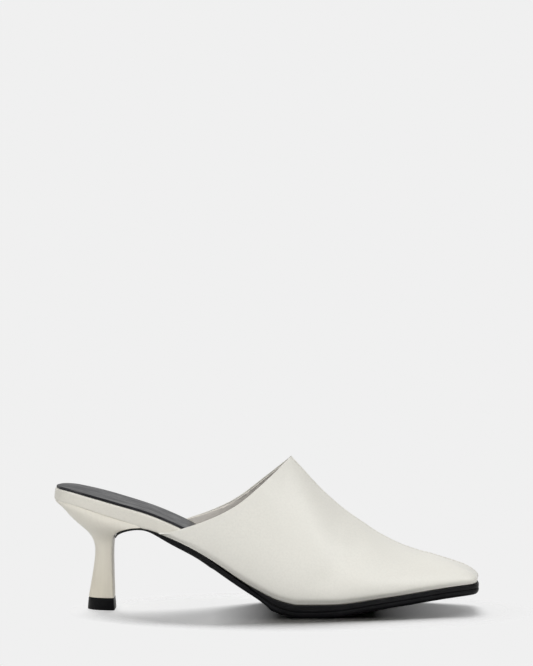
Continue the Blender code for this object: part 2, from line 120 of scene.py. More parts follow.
class MULE_PG_sizes(PropertyGroup):
    """Sizes of the finish."""

    leather: size("Leather", 1.1 * MM, "Thickness of the upper's leather")
    lining: size("Lining", 0.42 * MM, "Thickness of the lining")
    lining_drop: size("Lining drop", 0.8 * MM, "How far the lining ends under the collar's edge")
    seam_width: size("Seam width", 0.7 * MM, "Width of the groove of the centre-front seam")
    seam_depth: size("Seam depth", 0.3 * MM, "Depth of that groove")
    stitch_pitch: size("Stitch pitch", 2.7 * MM, "Distance from one stitch to the next")
    stitch_length: size("Stitch length", 2.1 * MM, "Length of one stitch")
    stitch_thickness: size("Stitch thickness", 0.42 * MM, "Thickness of the thread")
    stitch_offset: size("Stitch offset", 1.7 * MM, "Distance of the stitches from the seam")
    rand_round: size("Rand rounding", 0.5 * MM, "Rounding of the rand's lower edge")
    heel_round: size("Heel rounding", 0.2 * MM, "Rounding of the heel cover's edges")
    lift_round: size("Lift rounding", 0.35 * MM, "Rounding of the lift's edges")
    sole_round: size("Sole rounding", 0.3 * MM, "Rounding of the soles' edges")


class MULE_PG_colours(PropertyGroup):
    """Colours of the finish."""

    upper: colour("Upper", (0.795, 0.78, 0.72), "Leather of the upper")
    rand: colour("Rand", (0.76, 0.735, 0.665), "Leather round the insole's edge")
    heel: colour("Heel", (0.85, 0.815, 0.725), "Leather over the heel")
    lining: colour("Lining", (0.93, 0.885, 0.82), "Lining inside the upper")
    thread: colour("Thread", (0.70, 0.68, 0.61), "Thread of the seam")
    sock: colour("Sock", (0.015, 0.015, 0.017), "Sock that the foot stands on")
    sole: colour("Sole", (0.010, 0.010, 0.011), "Outsole, midsole and lift")


def sizes():
    """Gives the sizes that the panel shows."""
    return bpy.context.scene.mule_sizes


def colours():
    """Gives the colours that the panel shows."""
    return bpy.context.scene.mule_colours


# Ways of working on a piece


def only(piece):
    """Leaves one piece selected and active."""
    bpy.ops.object.select_all(action="DESELECT")
    piece.select_set(True)
    bpy.context.view_layer.objects.active = piece


def edit(piece, part="VERT"):
    """Opens a piece in edit mode with nothing selected."""
    only(piece)
    bpy.ops.object.mode_set(mode="EDIT")
    bpy.ops.mesh.select_mode(type=part)
    bpy.ops.mesh.select_all(action="DESELECT")


def pick(piece, parts, test, is_added=False):
    """Selects the verts, edges or faces that pass a test, in place of the rest or with it."""
    if not is_added:
        bpy.ops.mesh.select_all(action="DESELECT")
    work = bmesh.from_edit_mesh(piece.data)
    for part in getattr(work, parts):
        if test(part):
            part.select_set(True)
    work.select_flush_mode()
    bmesh.update_edit_mesh(piece.data)


def pull(shift, reach):
    """Moves what is selected, and softly what lies within reach of it."""
    bpy.ops.transform.translate(
        value=shift,
        use_proportional_edit=True,
        proportional_edit_falloff="SMOOTH",
        proportional_size=reach,
    )


def press(depth, reach):
    """Sinks what is selected along its normals, and softly what lies within reach of it."""
    bpy.ops.transform.shrink_fatten(
        value=-depth,
        use_proportional_edit=True,
        proportional_edit_falloff="SMOOTH",
        proportional_size=reach,
    )


def close():
    """Leaves edit mode."""
    bpy.ops.object.mode_set(mode="OBJECT")


def apply(piece, kind, **settings):
    """Adds a modifier to a piece and applies it."""
    only(piece)
    bpy.ops.object.modifier_add(type=kind)
    modifier = piece.modifiers[-1]
    for name, value in settings.items():
        setattr(modifier, name, value)
    bpy.ops.object.modifier_apply(modifier=modifier.name)


def subdivide(piece, levels):
    """Subdivides a piece into a smooth surface."""
    apply(piece, "SUBSURF", levels=levels, render_levels=levels)


def thicken(sheet, thickness):
    """Makes a sheet a wall, inwards from its surface."""
    apply(sheet, "SOLIDIFY", thickness=thickness, offset=-1.0, use_even_offset=False)


def smooth_shading(piece, angle=SHADE_ANGLE):
    """Shades a piece smooth, apart from edges that turn by more than an angle."""
    only(piece)
    bpy.ops.object.shade_smooth_by_angle(angle=angle, keep_sharp_edges=False)


def copy_of(node, name):
    """Copies a solid of the frame as a closed mesh of quads."""
    piece = bpy.data.objects.new(name, frame["nodes"][node].data.copy())
    bpy.context.scene.collection.objects.link(piece)
    edit(piece)
    bpy.ops.mesh.select_all(action="SELECT")
    bpy.ops.mesh.remove_doubles(threshold=MERGE_DISTANCE)
    bpy.ops.mesh.tris_convert_to_quads(
        face_threshold=QUAD_TURN,
        shape_threshold=QUAD_SKEW,
        topology_influence=1.0,
    )
    close()
    bpy.ops.mesh.customdata_custom_splitnormals_clear()
    return piece


def hand_over(piece, finish, slot, *nodes):
    """Gives a piece its material, its body and the nodes that it stands for."""
    piece.data.materials.clear()
    piece.data.materials.append(finish)
    for face in piece.data.polygons:
        face.material_index = 0
    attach(piece, "root")
    if nodes:
        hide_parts(*nodes)


# Behind this place the seat's edges are rounded by the subdivision alone.
SEAT_END = -117.2 * MM
ROUND_LEVELS = 2


def round_edges(piece, radius, angle=SHARP_ANGLE):
    """Bevels the edges of a piece that turn by more than an angle, and smooths it."""
    edit(piece, "EDGE")
    bpy.ops.mesh.edges_select_sharp(sharpness=angle)
    sharp = {e.index for e in bmesh.from_edit_mesh(piece.data).edges if e.select}
    pick(piece, "edges", lambda e: e.index in sharp and min(v.co.x for v in e.verts) > SEAT_END)
    bpy.ops.mesh.bevel(offset=radius, segments=2, profile=0.5, affect="EDGES")
    close()
    subdivide(piece, ROUND_LEVELS)
    smooth_shading(piece)


# Materials


def toned(value, share):
    """Makes a colour darker or lighter."""
    return tuple(part * share for part in value)


class Finish:
    """A material that is built node by node on object coordinates.

    The scale of a noise or of cells is about how many of its spots lie in a metre.
    """

    def __init__(self, name):
        self.material = bpy.data.materials.new(name)
        self.material.use_nodes = True
        self.tree = self.material.node_tree
        self.shader = self.tree.nodes["Principled BSDF"]
        self.place = self.add("ShaderNodeTexCoord").outputs["Object"]

    def add(self, kind, **settings):
        """Adds a node and sets its properties."""
        node = self.tree.nodes.new(kind)
        for name, value in settings.items():
            setattr(node, name, value)
        return node

    def link(self, source, target):
        """Plugs an output into an input."""
        self.tree.links.new(source, target)

    def stretched(self, factors):
        """Scales the object coordinates along each axis."""
        mapping = self.add("ShaderNodeMapping")
        mapping.inputs["Scale"].default_value = factors
        self.link(self.place, mapping.inputs["Vector"])
        return mapping.outputs["Vector"]

    def scaled(self, centre, reach):
        """Measures the object coordinates from a centre, in reaches along each axis."""
        mapping = self.add("ShaderNodeMapping", vector_type="TEXTURE")
        mapping.inputs["Location"].default_value = centre
        mapping.inputs["Scale"].default_value = reach
        self.link(self.place, mapping.inputs["Vector"])
        return mapping.outputs["Vector"]

    def noise(self, scale, detail=3.0, roughness=0.5, place=None):
        """Makes cloudy spots."""
        node = self.add("ShaderNodeTexNoise")
        node.inputs["Scale"].default_value = scale
        node.inputs["Detail"].default_value = detail
        node.inputs["Roughness"].default_value = roughness
        self.link(place or self.place, node.inputs["Vector"])
        return node.outputs["Fac"]

    def cells(self, scale):
        """Makes cells that are lowest along their borders."""
        node = self.add("ShaderNodeTexVoronoi", feature="DISTANCE_TO_EDGE")
        node.inputs["Scale"].default_value = scale
        self.link(self.place, node.inputs["Vector"])
        return node.outputs["Distance"]

    def spread(self, source, low, high, start=0.3, end=0.7):
        """Maps a value from start and end to low and high."""
        node = self.add("ShaderNodeMapRange")
        node.inputs["From Min"].default_value = start
        node.inputs["From Max"].default_value = end
        node.inputs["To Min"].default_value = low
        node.inputs["To Max"].default_value = high
        self.link(source, node.inputs["Value"])
        return node.outputs["Result"]

    def blend(self, share, first, second):
        """Mixes two colours by a value."""
        node = self.add("ShaderNodeMix", data_type="RGBA")
        self.link(share, node.inputs["Factor"])
        # The sockets for colours share their names with those for numbers, so they go by place.
        for socket, value in ((node.inputs[6], first), (node.inputs[7], second)):
            if isinstance(value, bpy.types.NodeSocket):
                self.link(value, socket)
            else:
                socket.default_value = (*value, 1.0)
        return node.outputs[2]

    def bump(self, height, strength, depth, before=None):
        """Makes a relief, on top of another where one is given."""
        node = self.add("ShaderNodeBump")
        node.inputs["Strength"].default_value = strength
        node.inputs["Distance"].default_value = depth
        self.link(height, node.inputs["Height"])
        if before:
            self.link(before, node.inputs["Normal"])
        return node.outputs["Normal"]

    def sum(self, first, second, share):
        """Adds a share of the second value to the first."""
        node = self.add("ShaderNodeMath", operation="MULTIPLY_ADD")
        self.link(second, node.inputs[0])
        node.inputs[1].default_value = share
        self.link(first, node.inputs[2])
        return node.outputs["Value"]

    def wear(self, base=None, roughness=None, normal=None, **fixed):
        """Plugs what varies into the shader and sets what doesn't."""
        for socket, source in (("Base Color", base), ("Roughness", roughness), ("Normal", normal)):
            if source:
                self.link(source, self.shader.inputs[socket])
        for name, value in fixed.items():
            self.shader.inputs[name.replace("_", " ")].default_value = value
        return self.material


def leather(name, value, roughness):
    """Makes smooth finished leather: faint clouds of tone, fine pores and a soft gloss."""
    finish = Finish(name)
    clouds = finish.spread(finish.noise(38.0, 3.0, 0.55), 0.0, 1.0)
    base = finish.blend(clouds, toned(value, 0.975), value)
    specks = finish.spread(finish.noise(900.0, 2.0), 0.0, 1.0, 0.35, 0.6)
    base = finish.blend(specks, toned(value, 0.955), base)
    pores = finish.spread(finish.cells(2300.0), 0.0, 1.0, 0.0, 0.28)
    grain = finish.sum(pores, finish.noise(5200.0, 2.0), 0.6)
    soft = finish.bump(finish.noise(120.0, 2.0), 0.05, 0.6 * MM)
    normal = finish.bump(grain, 0.10, 0.06 * MM, soft)
    gloss = finish.spread(finish.noise(60.0, 3.0), roughness - 0.04, roughness + 0.05)
    return finish.wear(base, gloss, normal, Specular_IOR_Level=0.5)


def lining_leather(value):
    """Makes the matt lining, with the open pores of split leather."""
    finish = Finish("beige_lining")
    clouds = finish.spread(finish.noise(70.0, 4.0, 0.6), 0.0, 1.0)
    base = finish.blend(clouds, toned(value, 0.93), value)
    pores = finish.spread(finish.noise(1600.0, 3.0), 0.0, 1.0)
    normal = finish.bump(pores, 0.25, 0.10 * MM)
    gloss = finish.spread(finish.noise(200.0, 2.0), 0.55, 0.68)
    return finish.wear(base, gloss, normal, Specular_IOR_Level=0.35)


# Painted shade: the share of each colour that the heel's leather keeps at its foot, which
# darkens the stem downwards as if less light reached it, and the heights between which it changes.
HEEL_SHADE_SHARE = (0.84, 0.82, 0.78)
HEEL_SHADE_HEIGHTS = (14 * MM, 50 * MM)


def heel_leather(value):
    """Makes the heel's leather, drawn into fine upright streaks, with painted shade below."""
    finish = Finish("heel_leather")
    upright = finish.stretched((1.0, 1.0, 0.06))
    streaks = finish.noise(620.0, 3.0, 0.6, upright)
    height = finish.add("ShaderNodeSeparateXYZ")
    finish.link(finish.place, height.inputs["Vector"])
    # Painted shade: the leather is made darker towards the heel's foot, as if less light reached
    # it there.
    shade = finish.spread(height.outputs["Z"], 0.0, 1.0, *HEEL_SHADE_HEIGHTS)
    drawn = finish.spread(streaks, 0.0, 1.0)
    foot = tuple(part * share for part, share in zip(value, HEEL_SHADE_SHARE))
    low = finish.blend(drawn, toned(foot, 0.95), foot)
    high = finish.blend(drawn, toned(value, 0.96), value)
    base = finish.blend(shade, low, high)
    grain = finish.sum(finish.noise(2600.0, 2.0), streaks, 1.2)
    normal = finish.bump(grain, 0.16, 0.08 * MM)
    gloss = finish.spread(streaks, 0.36, 0.46)
    return finish.wear(base, gloss, normal, Specular_IOR_Level=0.45)


def sock_leather(value):
    """Makes the dark sock: fine lengthwise streaks in a satin surface."""
    finish = Finish("dark_sock")
    bands = finish.noise(170.0, 4.0, 0.65, finish.stretched((0.07, 1.0, 1.0)))
    streaks = finish.noise(900.0, 3.0, 0.6, finish.stretched((0.05, 1.0, 1.0)))
    mixed = finish.spread(finish.sum(bands, streaks, 0.5), 0.0, 1.0, 0.55, 0.95)
    base = finish.blend(mixed, toned(value, 0.5), toned(value, 2.4))
    grain = finish.sum(finish.noise(2600.0, 2.0), streaks, 1.5)
    normal = finish.bump(grain, 0.30, 0.08 * MM)
    gloss = finish.spread(mixed, 0.26, 0.52, 0.0, 1.0)
    return finish.wear(base, gloss, normal, Specular_IOR_Level=0.5)


def thread_finish(value):
    """Makes the twisted thread of the seam."""
    finish = Finish("seam_thread")
    twist = finish.noise(3000.0, 2.0, 0.5, finish.stretched((1.0, 2.0, 2.0)))
    base = finish.blend(finish.spread(twist, 0.0, 1.0), toned(value, 0.85), value)
    normal = finish.bump(twist, 0.3, 0.05 * MM)
    gloss = finish.spread(twist, 0.45, 0.6)
    return finish.wear(base, gloss, normal, Specular_IOR_Level=0.4)


def sole_finish(name, value, roughness, level):
    """Makes the black soling: scuffs, fine layers along its edge and a pebbled underside."""
    finish = Finish(name)
    along = finish.stretched((0.05, 0.05, 1.0))
    layers = finish.noise(2400.0, 2.0, 0.5, along)
    scuffs = finish.spread(finish.noise(90.0, 5.0, 0.65), 0.0, 1.0, 0.45, 0.75)
    base = finish.blend(scuffs, value, toned(value, 1.9))
    grain = finish.sum(finish.noise(2000.0, 3.0), layers, 0.5)
    normal = finish.bump(grain, 0.18, 0.08 * MM)
    gloss = finish.spread(finish.noise(150.0, 4.0, 0.6), roughness - 0.06, roughness + 0.1)
    return finish.wear(base, gloss, normal, Specular_IOR_Level=level)


# The upper

TOE_RELAX = 15 * MM
RIDGE_CREASE = 0.55
COLLAR_ROUND = 0.4 * MM
COLLAR_ANGLE = math.radians(60)
STITCH_SINK = 0.08 * MM
LINING_GAP = 0.03 * MM
LINING_BACK = -50 * MM

# The feather line is the leather's lower edge. It rolls under in front of FEATHER_BACK, and
# behind that the tips of the wings are tucked in.
FEATHER_BACK = -44 * MM
FEATHER_TUCK = 0.9 * MM
FEATHER_ROUND = 3.4 * MM
TIP_TUCK = 0.9 * MM
TIP_ROUND = 2.5 * MM

# How far the collar's edge comes down near the wings' tips, and how far the tips lie closer to
# the rand, place by place.
WING_TIPS = (
    # back, front, drop, inward
    (-61 * MM, -58 * MM, 1.3 * MM, 0.7 * MM),
    (-58 * MM, -52 * MM, 0.9 * MM, 0.5 * MM),
    (-52 * MM, -47 * MM, 0.4 * MM, 0.3 * MM),
)

# How far the throat's peak moves forwards and up.
PEAK_SHIFT = (0.9 * MM, 0.0, 0.4 * MM)
PEAK_REACH = 14 * MM

# Soft creases of the leather, each a line on one side of the shoe. Ridges have a negative depth.
# Each is pressed in at CREASE_STEPS points, by STEP_SHARE of its depth at every one.
CREASES = (
    # side, start x, start z, end x, end z, depth, reach
    (-1, 52 * MM, 39 * MM, 34 * MM, 22 * MM, 1.60 * MM, 11 * MM),
    (-1, 50 * MM, 16 * MM, 76 * MM, 17 * MM, -1.40 * MM, 11 * MM),
    (-1, 40 * MM, 46 * MM, 36 * MM, 40 * MM, 0.40 * MM, 8 * MM),
    (1, 48 * MM, 42 * MM, 34 * MM, 22 * MM, 1.00 * MM, 12 * MM),
)
CREASE_STEPS = 4
STEP_SHARE = 0.5

# Where the ridge of the centre front runs fuller: over the instep and at the toe.
RIDGE_SHIFTS = (
    # back, front, lowest height, shift, reach
    (38 * MM, 54 * MM, 0.0, (0.20 * MM, 0.0, 0.42 * MM), 14 * MM),
    (112 * MM, 121 * MM, 17 * MM, (0.80 * MM, 0.0, 0.30 * MM), 8 * MM),
)


def outer_sheet(name):
    """Copies the outer face of the upper's wall, with its collar's edge marked as sharp."""
    sheet = copy_of("upper", name)
    edit(sheet, "EDGE")
    bpy.ops.mesh.edges_select_sharp(sharpness=SHARP_ANGLE)
    bpy.ops.mesh.mark_seam(clear=False)
    pick(sheet, "edges", lambda e: e.seam and min(f.normal.z for f in e.link_faces) > -LEVEL)
    bpy.ops.mesh.mark_sharp()
    bpy.ops.mesh.select_mode(type="FACE")
    faces = bmesh.from_edit_mesh(sheet.data).faces
    place = min((face.calc_center_median() for face in faces), key=lambda centre: centre.y)
    pick(sheet, "faces", lambda face: (face.calc_center_median() - place).length < MERGE_DISTANCE)
    bpy.ops.mesh.select_linked(delimit={"SEAM"})
    bpy.ops.mesh.select_all(action="INVERT")
    bpy.ops.mesh.delete(type="FACE")
    bpy.ops.mesh.select_all(action="SELECT")
    bpy.ops.mesh.mark_seam(clear=True)
    close()
    return sheet


def toe_pole(sheet):
    """Finds where the sections of the toe meet on the ridge."""
    counts = {}
    for edge in sheet.data.edges:
        for index in edge.vertices:
            counts[index] = counts.get(index, 0) + 1
    return sheet.data.vertices[max(counts, key=counts.get)].co.copy()


def is_collar(edge):
    """Tells the edges of the collar, which outer_sheet marks as sharp."""
    return edge.is_boundary and not edge.smooth


def is_feather(edge):
    """Tells the edges of the feather line."""
    return edge.is_boundary and edge.smooth


def relax_toe(sheet, pole):
    """Evens out the surface round the point where the toe's sections meet."""
    edit(sheet)
    pick(sheet, "verts", lambda v: (v.co - pole).length < TOE_RELAX and not v.is_boundary)
    bpy.ops.mesh.vertices_smooth(factor=0.5, repeat=4)
    close()


def shape_collar(sheet):
    """Brings the wings' tips down to the sole and sets the peak of the throat."""
    edit(sheet)
    work = bmesh.from_edit_mesh(sheet.data)
    collar = {vert.index for edge in work.edges if is_collar(edge) for vert in edge.verts}
    for back, front, drop, inward in WING_TIPS:
        for side in SIDES:
            pick(
                sheet,
                "verts",
                lambda v: v.index in collar and back <= v.co.x < front and v.co.y * side > 0,
            )
            bpy.ops.transform.translate(value=(0.0, -side * inward, -drop))
    peak = max(vert.co.z for vert in bmesh.from_edit_mesh(sheet.data).verts)
    pick(sheet, "verts", lambda v: v.co.z > peak - MERGE_DISTANCE)
    pull(PEAK_SHIFT, PEAK_REACH)
    close()


def mark_ridge(sheet, pole):
    """Creases the centre front from the throat to the toe, and marks it as a seam."""
    peak = max(sheet.data.vertices, key=lambda vert: vert.co.z).co.copy()
    edit(sheet)
    rim = [v.co.copy() for v in bmesh.from_edit_mesh(sheet.data).verts if v.is_boundary]
    front = [point for point in rim if point.x > pole.x]
    tip = min(front, key=lambda point: abs(point.y - pole.y))
    pick(sheet, "verts", lambda v: (v.co - peak).length < MERGE_DISTANCE)
    bpy.ops.transform.vert_crease(value=1.0)
    pick(sheet, "verts", lambda v: (v.co - tip).length < MERGE_DISTANCE, is_added=True)
    bpy.ops.mesh.shortest_path_select()
    bpy.ops.mesh.select_mode(type="EDGE")
    bpy.ops.transform.edge_crease(value=RIDGE_CREASE)
    bpy.ops.mesh.mark_seam(clear=False)
    close()


def tuck_feather(sheet):
    """Rolls the leather's lower edge under, and tucks it in at the wings' tips."""
    edit(sheet, "EDGE")
    pick(sheet, "edges", lambda e: is_feather(e) and min(v.co.x for v in e.verts) > FEATHER_BACK)
    press(FEATHER_TUCK, FEATHER_ROUND)
    for side in SIDES:
        pick(
            sheet,
            "edges",
            lambda e: is_feather(e)
            and max(v.co.x for v in e.verts) < FEATHER_BACK
            and e.verts[0].co.y * side > 0,
        )
        pull((0.0, -side * TIP_TUCK, 0.0), TIP_ROUND)
    close()


def crease(sheet):
    """Presses the soft troughs and ridges into the leather, point after point."""
    for side, start_x, start_z, end_x, end_z, depth, reach in CREASES:
        for step in range(CREASE_STEPS):
            share = step / (CREASE_STEPS - 1)
            x = start_x + (end_x - start_x) * share
            z = start_z + (end_z - start_z) * share
            points = [v.co.copy() for v in sheet.data.vertices if v.co.y * side > 0]
            middle = min(points, key=lambda p: (p.x - x) ** 2 + (p.z - z) ** 2)
            edit(sheet)
            pick(sheet, "verts", lambda v: (v.co - middle).length < MERGE_DISTANCE)
            press(depth * STEP_SHARE, reach)
            close()


def fill_ridge(sheet):
    """Raises the ridge where it runs fuller."""
    for back, front, low, shift, reach in RIDGE_SHIFTS:
        edit(sheet, "EDGE")
        pick(
            sheet,
            "edges",
            lambda e: e.seam
            and all(back < vert.co.x < front and vert.co.z > low for vert in e.verts),
        )
        pull(shift, reach)
        close()


def skin(name, is_tucked):
    """Models the upper's surface: one smooth sheet with its creases, ridge and lower edge."""
    sheet = outer_sheet(name)
    pole = toe_pole(sheet)
    relax_toe(sheet, pole)
    shape_collar(sheet)
    mark_ridge(sheet, pole)
    subdivide(sheet, 1)
    crease(sheet)
    fill_ridge(sheet)
    subdivide(sheet, 1)
    if is_tucked:
        tuck_feather(sheet)
    return sheet


def ridge_points(sheet):
    """Lists the points of the seam from the throat down to the toe, with their normals."""
    ends = {i for edge in sheet.data.edges if edge.use_seam for i in edge.vertices}
    verts = [sheet.data.vertices[i] for i in ends]
    verts.sort(key=lambda vert: vert.co.x - vert.co.z)
    return [(vert.co.copy(), vert.normal.copy()) for vert in verts]


def open_seam(sheet):
    """Presses the groove of the centre-front seam between its two panels."""
    edit(sheet, "EDGE")
    pick(sheet, "edges", lambda e: e.seam)
    bpy.ops.mesh.bevel(
        offset=sizes().seam_width / 2, segments=2, affect="EDGES", clamp_overlap=False
    )
    work = bmesh.from_edit_mesh(sheet.data)
    middle = {
        vert.index for vert in work.verts if vert.select and all(f.select for f in vert.link_faces)
    }
    bpy.ops.mesh.select_mode(type="VERT")
    pick(sheet, "verts", lambda v: v.index in middle)
    bpy.ops.transform.shrink_fatten(value=-sizes().seam_depth)
    close()


class MULE_OT_upper(Operator):
    """Models the upper's leather on the outer face of its packed wall"""

    bl_idname = "mule.upper"
    bl_label = "Upper"

    def execute(self, context):
        piece = skin("upper_leather", True)
        ridge = ridge_points(piece)
        open_seam(piece)
        thicken(piece, sizes().leather)
        apply(
            piece,
            "BEVEL",
            width=COLLAR_ROUND,
            segments=3,
            limit_method="ANGLE",
            angle_limit=COLLAR_ANGLE,
            use_clamp_overlap=True,
        )
        smooth_shading(piece, CUT_ANGLE)
        hand_over(piece, leather("white_leather", colours().upper, 0.34), "white_leather", "upper")
        add_stitches(piece, ridge)
        return {"FINISHED"}


def add_stitches(leather_piece, ridge):
    """Sews a row of stitches along each side of the seam."""
    kit = sizes()
    bpy.ops.object.select_all(action="DESELECT")
    bpy.ops.mesh.primitive_uv_sphere_add(segments=8, ring_count=6, radius=kit.stitch_thickness / 2)
    first = bpy.context.object
    first.name = "seam_stitches"
    edit(first)
    stretch = (kit.stitch_length - kit.stitch_thickness) / 2
    for end in SIDES:
        pick(first, "verts", lambda v: v.co.x * end > MERGE_DISTANCE)
        bpy.ops.transform.translate(value=(end * stretch, 0.0, 0.0))
    close()
    pattern = first.data.copy()
    only(first)
    bpy.ops.object.delete()
    stitches = []
    for side in SIDES:
        covered = kit.stitch_pitch / 2
        for (here, normal), (after, _) in zip(ridge, ridge[1:]):
            length = (after - here).length
            while covered < length:
                along = (after - here).normalized()
                across = along.cross(normal).normalized() * side
                guess = here + along * covered + across * kit.stitch_offset
                _, place, up, _ = leather_piece.closest_point_on_mesh(guess)
                along = (along - up * along.dot(up)).normalized()
                turn = Matrix((along, up.cross(along), up)).transposed().to_4x4()
                stitch = bpy.data.objects.new("stitch", pattern.copy())
                bpy.context.scene.collection.objects.link(stitch)
                stitch.matrix_world = Matrix.Translation(place - up * STITCH_SINK) @ turn
                stitches.append(stitch)
                covered += kit.stitch_pitch
            covered -= length
    bpy.data.meshes.remove(pattern)
    bpy.ops.object.select_all(action="DESELECT")
    for stitch in stitches:
        stitch.select_set(True)
    bpy.context.view_layer.objects.active = stitches[0]
    bpy.ops.object.join()
    piece = bpy.context.object
    piece.name = "seam_stitches"
    bpy.ops.object.transform_apply(location=True, rotation=True, scale=True)
    smooth_shading(piece, math.pi)
    hand_over(piece, thread_finish(colours().thread), "thread_white")


class MULE_OT_lining(Operator):
    """Models the lining inside the upper, which ends a little under the collar's edge"""

    bl_idname = "mule.lining"
    bl_label = "Lining"

    def execute(self, context):
        piece = skin("upper_lining", False)
        edit(piece, "FACE")
        pick(piece, "faces", lambda f: f.calc_center_median().x < LINING_BACK)
        bpy.ops.mesh.delete(type="FACE")
        bpy.ops.mesh.select_all(action="SELECT")
        bpy.ops.transform.shrink_fatten(value=-(sizes().leather + LINING_GAP))
        bpy.ops.mesh.select_mode(type="EDGE")
        pick(piece, "edges", is_collar)
        bpy.ops.transform.translate(value=(0.0, 0.0, -sizes().lining_drop))
        close()
        thicken(piece, sizes().lining)
        smooth_shading(piece, CUT_ANGLE)
        hand_over(piece, lining_leather(colours().lining), "lining_beige")
        return {"FINISHED"}


# The bottom

# How far the undersides of the slabs are lowered onto what lies below, so that no seam gapes.
SEAM_CLOSE = 0.27 * MM
RAND_DROP = 0.50 * MM

# The rand's rim moves in at the back of the seat, at its top and at its foot.
SEAT_TIP = -117 * MM
RIM_LEVEL = 63.5 * MM
RIM_SHIFT = (1.0 * MM, 0.0, -0.3 * MM)
RIM_REACH = 3 * MM
FOOT_SHIFT = (0.5 * MM, 0.0, 0.0)

# The rand's lower edge hangs a little between the heel's breast and the wings.
LIP_BACK = -72 * MM
LIP_FRONT = -63 * MM
LIP_SIDE = 18 * MM
LIP_DROP = 0.8 * MM
LIP_REACH = 7 * MM

# The rand and the sock swell to meet the wings' tips.
RAND_BULGE = 1.0 * MM
BULGE_BACK = -63 * MM
BULGE_FRONT = -57 * MM
BULGE_SIDE = 20 * MM
BULGE_REACH = 14 * MM

# The sock is drawn in at its sides and its back, and its top is raised.
SOCK_EDGE = 0.08 * MM
SOCK_LIFT = 0.25 * MM
SOCK_BACK_SHIFT = (1.2 * MM, 0.0, -0.25 * MM)
SOCK_BACK_REACH = 16 * MM
SOCK_WIDTH = 0.978

# The heel's back, where its normals look backwards by at least this much, is drawn in above
# its foot.
HEEL_BACKWARD = 0.5
HEEL_LOW = 14 * MM
HEEL_SLIM = 0.55 * MM
HEEL_REACH = 6 * MM

# The outsole is fuller just behind its tread, where its normals look down by at least this much.
SOLE_DOWNWARD = 0.3
SOLE_BACK = -26 * MM
SOLE_FRONT = -13 * MM
SOLE_DROP = 1.2 * MM
SOLE_REACH = 13 * MM


def move_under(piece, drop):
    """Lowers the underside of a slab, so that it closes the seam with what lies below."""
    edit(piece)
    pick(piece, "verts", lambda v: v.normal.z < -LEVEL)
    bpy.ops.transform.translate(value=(0.0, 0.0, -drop))
    close()


def bulge_sides(piece, amount):
    """Pushes both sides of a slab outwards where the wings of the upper end."""
    for side in SIDES:
        edit(piece)
        pick(
            piece,
            "verts",
            lambda v: BULGE_BACK < v.co.x < BULGE_FRONT and v.co.y * side > BULGE_SIDE,
        )
        pull((0.0, side * amount, 0.0), BULGE_REACH)
        close()


class MULE_OT_rand(Operator):
    """Models the insole with the leather that is wrapped round its edge"""

    bl_idname = "mule.rand"
    bl_label = "Rand"

    def execute(self, context):
        piece = copy_of("insole", "rand_cover")
        bulge_sides(piece, RAND_BULGE)
        move_under(piece, RAND_DROP)
        edit(piece)
        pick(
            piece,
            "verts",
            lambda v: v.normal.z < -LEVEL
            and LIP_BACK < v.co.x < LIP_FRONT
            and abs(v.co.y) > LIP_SIDE,
        )
        pull((0.0, 0.0, -LIP_DROP), LIP_REACH)
        pick(piece, "verts", lambda v: v.co.x < SEAT_TIP and v.co.z > RIM_LEVEL)
        pull(RIM_SHIFT, RIM_REACH)
        pick(piece, "verts", lambda v: v.co.x < SEAT_TIP and v.co.z < RIM_LEVEL)
        pull(FOOT_SHIFT, RIM_REACH)
        close()
        round_edges(piece, sizes().rand_round)
        hand_over(piece, leather("rand_leather", colours().rand, 0.36), "rand_leather", "insole")
        return {"FINISHED"}


class MULE_OT_sock(Operator):
    """Models the dark sock on the insole"""

    bl_idname = "mule.sock"
    bl_label = "Sock"

    def execute(self, context):
        piece = copy_of("sock", "sock_cover")
        bulge_sides(piece, RAND_BULGE / 2)
        edit(piece)
        bpy.ops.mesh.select_all(action="SELECT")
        bpy.ops.transform.resize(value=(1.0, SOCK_WIDTH, 1.0), center_override=(0.0, 0.0, 0.0))
        pick(piece, "verts", lambda v: v.co.x < SEAT_TIP)
        pull(SOCK_BACK_SHIFT, SOCK_BACK_REACH)
        close()
        move_under(piece, SEAM_CLOSE)
        edit(piece)
        pick(piece, "verts", lambda v: v.normal.z > LEVEL)
        bpy.ops.transform.translate(value=(0.0, 0.0, SOCK_LIFT))
        close()
        round_edges(piece, SOCK_EDGE)
        hand_over(piece, sock_leather(colours().sock), "sock_lining", "sock")
        return {"FINISHED"}


class MULE_OT_heel(Operator):
    """Models the covered heel and its lift"""

    bl_idname = "mule.heel"
    bl_label = "Heel"

    def execute(self, context):
        cover = copy_of("heel", "heel_cover")
        edit(cover)
        pick(cover, "verts", lambda v: v.normal.x < -HEEL_BACKWARD and v.co.z > HEEL_LOW)
        pull((HEEL_SLIM, 0.0, 0.0), HEEL_REACH)
        close()
        round_edges(cover, sizes().heel_round)
        hand_over(cover, heel_leather(colours().heel), "heel_cover", "heel")
        lift = copy_of("heel_lift", "heel_lift_rubber")
        round_edges(lift, sizes().lift_round)
        finish = sole_finish("black_lift", toned(colours().sole, 0.6), 0.42, 0.15)
        hand_over(lift, finish, "lift_black", "heel_lift")
        return {"FINISHED"}


